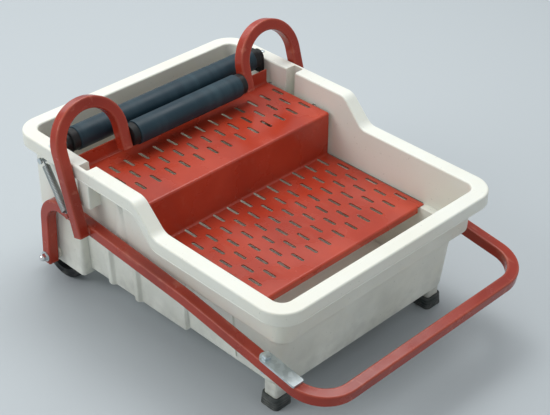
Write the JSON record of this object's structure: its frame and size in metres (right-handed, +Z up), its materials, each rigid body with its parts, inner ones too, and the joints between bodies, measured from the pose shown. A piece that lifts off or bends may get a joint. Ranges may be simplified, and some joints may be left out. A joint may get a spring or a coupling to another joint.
{
  "type": "foot-operated mop wringing tray",
  "caption": "Low moulded tub on wheels and rubber feet with a slotted step plate, rubber wringing rollers and a sprung pedal frame of bent square tube.",
  "frame": {"origin": "on the floor under the middle of the box round the whole object", "axes": "+Z up, +Y towards the rollers at the rear, -Y towards the pedal, +X to the right seen from the pedal"},
  "size_m": [0.544, 0.726, 0.3808],
  "materials": {
    "tub_plastic": "satin moulded",
    "red_paint": "satin paint, worn",
    "roller_rubber": "matt, smooth",
    "black_plastic": "matt",
    "foot_rubber": "matt, dusty",
    "tyre_rubber": "matt, dusty",
    "steel": "drawn",
    "zinc_steel": "galvanised",
    "spring_steel": "drawn wire",
    "chrome": "bright",
    "bush_plastic": "nylon"
  },
  "bodies": {
    "tray": {"tub": "tub_plastic", "step_plate": "red_paint", "rear_roller_shaft": "steel", "bearing_block_left": "black_plastic", "bearing_block_right": "black_plastic", "bearing_screws": "zinc_steel", "foot_boot_left": "foot_rubber", "foot_boot_right": "foot_rubber", "axle_left": "steel", "axle_right": "steel", "axle_washers": "zinc_steel", "axle_nuts": "chrome", "spring_bolts": "zinc_steel", "spring_bolt_nuts": "zinc_steel", "return_spring_left": "spring_steel", "return_spring_right": "spring_steel"},
    "lever": {"pedal_frame": "red_paint", "gooseneck_left": "red_paint", "gooseneck_right": "red_paint", "tube_end_caps": "red_paint", "front_roller_shaft": "steel", "pivot_bush_left": "bush_plastic", "pivot_bush_right": "bush_plastic", "spring_ears": "red_paint", "catch_bolt": "zinc_steel", "catch_nut": "zinc_steel"},
    "front_roller": {"front_roller_sleeve": "roller_rubber", "front_roller_core": "steel", "front_roller_caps": "black_plastic"},
    "rear_roller": {"rear_roller_sleeve": "roller_rubber", "rear_roller_core": "steel", "rear_roller_caps": "black_plastic"},
    "wheel_left": {"wheel_tyre_left": "tyre_rubber", "wheel_hub_left": "black_plastic"},
    "wheel_right": {"wheel_tyre_right": "tyre_rubber", "wheel_hub_right": "black_plastic"},
    "catch": {"catch_plate": "zinc_steel"}
  },
  "joints": [
    {"name": "lever_press", "type": "hinge", "parent": "tray", "child": "lever", "pos_m": [0, 0.298, 0.057], "axis": [1, 0, 0], "range_deg": [0, 8], "stiffness_Nm_per_rad": 220, "springref_deg": -3.44, "deforming": ["return_spring_left", "return_spring_right"]},
    {"name": "front_roller_spin", "type": "hinge", "parent": "lever", "child": "front_roller", "pos_m": [0, 0.20504, 0.28875], "axis": [1, 0, 0], "continuous": true},
    {"name": "rear_roller_spin", "type": "hinge", "parent": "tray", "child": "rear_roller", "pos_m": [0, 0.258, 0.29], "axis": [1, 0, 0], "continuous": true},
    {"name": "wheel_left_spin", "type": "hinge", "parent": "tray", "child": "wheel_left", "pos_m": [-0.20675, 0.298, 0.057], "axis": [1, 0, 0], "continuous": true},
    {"name": "wheel_right_spin", "type": "hinge", "parent": "tray", "child": "wheel_right", "pos_m": [0.20675, 0.298, 0.057], "axis": [1, 0, 0], "continuous": true},
    {"name": "catch_swing", "type": "hinge", "parent": "lever", "child": "catch", "pos_m": [-0.242, -0.23838, 0.14697], "axis": [0, -0.1383, 0.9904], "range_deg": [0, 60]}
  ]
}
